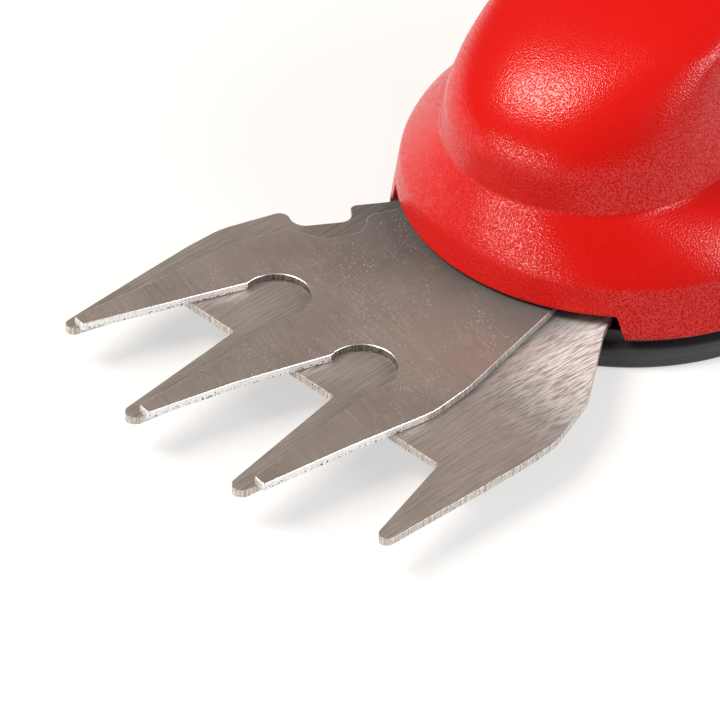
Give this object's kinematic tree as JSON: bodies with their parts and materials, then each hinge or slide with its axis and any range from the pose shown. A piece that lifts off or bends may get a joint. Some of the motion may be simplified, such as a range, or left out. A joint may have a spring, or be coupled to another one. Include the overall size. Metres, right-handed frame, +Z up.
{
  "type": "cordless grass shears",
  "caption": "Cordless grass shears with a toothed swinging blade over a fixed blade, a red moulded hood that rises into a hand grip, and a round black base",
  "frame": {"origin": "on the underside of the base, on the crank's axis at the centre of the round head", "axes": "+X the way the teeth point, +Y to the tool's left, +Z up, away from the ground"},
  "size_m": [0.3355, 0.103, 0.0824],
  "materials": {
    "red_plastic": "moulded with a fine eroded grain, satin gloss",
    "black_plastic": "moulded, satin",
    "grey_plastic": "moulded, matt",
    "nylon": "moulded, natural colour",
    "blade_steel": "rolled strip, brushed along the teeth, ground edges",
    "zinc_steel": "zinc plated",
    "ground_steel": "ground",
    "spring_steel": "drawn wire",
    "bronze": "sintered and turned",
    "ferrite": "sintered, matt",
    "copper_winding": "enamelled wire on a lamination stack",
    "soft_grip": "moulded on, fine matt texture",
    "cell_wrap": "shrink sleeve",
    "board": "solder mask",
    "red_insulation": "extruded",
    "black_insulation": "extruded"
  },
  "bodies": {
    "housing": {"base_plate": "black_plastic", "base_screws": "zinc_steel", "lower_blade": "blade_steel", "blade_screws": "zinc_steel", "pivot_bolt": "zinc_steel", "pivot_washer": "zinc_steel", "pivot_nut": "zinc_steel", "crank_bush": "bronze", "idler_axle": "ground_steel", "gear_case": "grey_plastic", "motor_can": "zinc_steel", "motor_magnets": "ferrite", "motor_end_cap": "nylon", "motor_screws": "zinc_steel", "housing_left": "red_plastic", "housing_right": "red_plastic", "housing_screws": "zinc_steel", "grip_left": "soft_grip", "grip_right": "soft_grip", "trigger_pin": "ground_steel", "trigger_spring": "spring_steel", "lock_spring": "spring_steel", "switch": "black_plastic", "cell_holder": "grey_plastic", "battery_cells": "cell_wrap", "cell_straps": "ground_steel", "control_board": "board", "charge_socket": "black_plastic", "motor_wires": "red_insulation", "battery_wires": "black_insulation"},
    "crank": {"crank_gear": "nylon", "crank_shaft": "ground_steel", "crank_pin": "ground_steel", "crank_roller": "bronze"},
    "idler": {"idler_gear": "nylon"},
    "rotor": {"motor_shaft": "ground_steel", "armature": "copper_winding", "motor_pinion": "bronze"},
    "cutter": {"upper_blade": "blade_steel"},
    "trigger_lever": {"trigger": "black_plastic"},
    "lock_off": {"lock_button": "black_plastic"}
  },
  "joints": [
    {"name": "crank_spin", "type": "hinge", "parent": "housing", "child": "crank", "pos_m": [0, 0, 0.0195], "axis": [0, 0, 1], "range_deg": [0, 180]},
    {"name": "blade_swing", "type": "hinge", "parent": "housing", "child": "cutter", "pos_m": [0.026, 0, 0.012], "axis": [0, 0, 1], "range_deg": [0, 15]},
    {"name": "idler_spin", "type": "hinge", "parent": "housing", "child": "idler", "pos_m": [-0.0243, 0, 0.0225], "axis": [0, 0, 1], "range_deg": [-630, 0]},
    {"name": "rotor_spin", "type": "hinge", "parent": "housing", "child": "rotor", "pos_m": [-0.0115, 0, 0.045], "axis": [0, 0, 1], "range_deg": [0, 1890]},
    {"name": "trigger_pull", "type": "hinge", "parent": "housing", "child": "trigger_lever", "pos_m": [-0.08, 0, 0.0505], "axis": [0, 1, 0], "range_deg": [0, 8], "stiffness_Nm_per_rad": 1.5, "deforming": ["trigger_spring"]},
    {"name": "lock_press", "type": "slide", "parent": "housing", "child": "lock_off", "axis": [0, 0, -1], "range_m": [0, 0.0025], "stiffness_N_per_m": 800, "deforming": ["lock_spring"]}
  ],
  "couplings": [
    {"joint": "blade_swing", "follows": "crank_spin", "ratio": 0.083333},
    {"joint": "idler_spin", "follows": "crank_spin", "ratio": -3.5},
    {"joint": "rotor_spin", "follows": "crank_spin", "ratio": 10.5}
  ]
}
